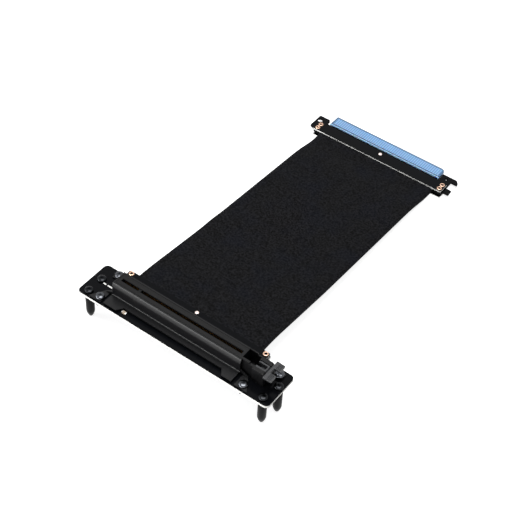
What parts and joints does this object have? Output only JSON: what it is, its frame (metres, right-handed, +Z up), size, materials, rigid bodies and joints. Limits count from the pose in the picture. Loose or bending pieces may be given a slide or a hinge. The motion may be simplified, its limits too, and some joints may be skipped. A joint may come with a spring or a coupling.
{
  "type": "pcie extension cable",
  "caption": "Flat wrapped signal cable with a shrouded card slot on a four-post board at one end and a capped card-edge board at the other.",
  "frame": {"origin": "middle of the footprint, on the surface that the posts and the far end rest on", "axes": "+X along the slot towards the latch, +Y along the cable towards the card edge, +Z up"},
  "size_m": [0.1354, 0.2422, 0.0325],
  "materials": {
    "board_mask": "glossy black solder mask on glass-fibre board",
    "gold_plate": "gold plating",
    "post_coat": "black coated, satin",
    "screw_black": "black zinc, satin",
    "screw_nickel": "bright nickel",
    "housing_plastic": "moulded black, satin",
    "shroud_paint": "black coated sheet, semi-gloss",
    "chip_ceramic": "fired ceramic",
    "cable_jacket": "extruded jacket",
    "wrap_cloth": "matt black wrap with a fine leathery grain",
    "cap_vinyl": "translucent blue vinyl"
  },
  "bodies": {
    "cable": {"slot_board": "board_mask", "near_cover_top": "board_mask", "near_cover_bottom": "board_mask", "far_cover_top": "board_mask", "far_cover_bottom": "board_mask", "near_eyelets": "gold_plate", "far_eyelets": "gold_plate", "post_front_left": "post_coat", "post_front_right": "post_coat", "post_rear_left": "post_coat", "post_rear_right": "post_coat", "post_screws": "screw_black", "shroud_screws": "screw_nickel", "shroud_nuts": "screw_nickel", "slot_housing": "housing_plastic", "slot_contacts": "gold_plate", "slot_shroud": "shroud_paint", "chip_capacitor": "chip_ceramic", "upper_cable_1": "cable_jacket", "upper_cable_2": "cable_jacket", "upper_cable_3": "cable_jacket", "upper_cable_4": "cable_jacket", "lower_cable_1": "cable_jacket", "lower_cable_2": "cable_jacket", "lower_cable_3": "cable_jacket", "lower_cable_4": "cable_jacket", "cable_wrap": "wrap_cloth", "edge_board": "board_mask", "edge_fingers": "gold_plate", "edge_cap": "cap_vinyl"},
    "lever": {"latch_lever": "housing_plastic"}
  },
  "joints": [
    {"name": "latch_hinge", "type": "hinge", "parent": "cable", "child": "lever", "pos_m": [0.0534, -0.10595, 0.0242], "axis": [0, 1, 0], "range_deg": [0, 30]}
  ]
}
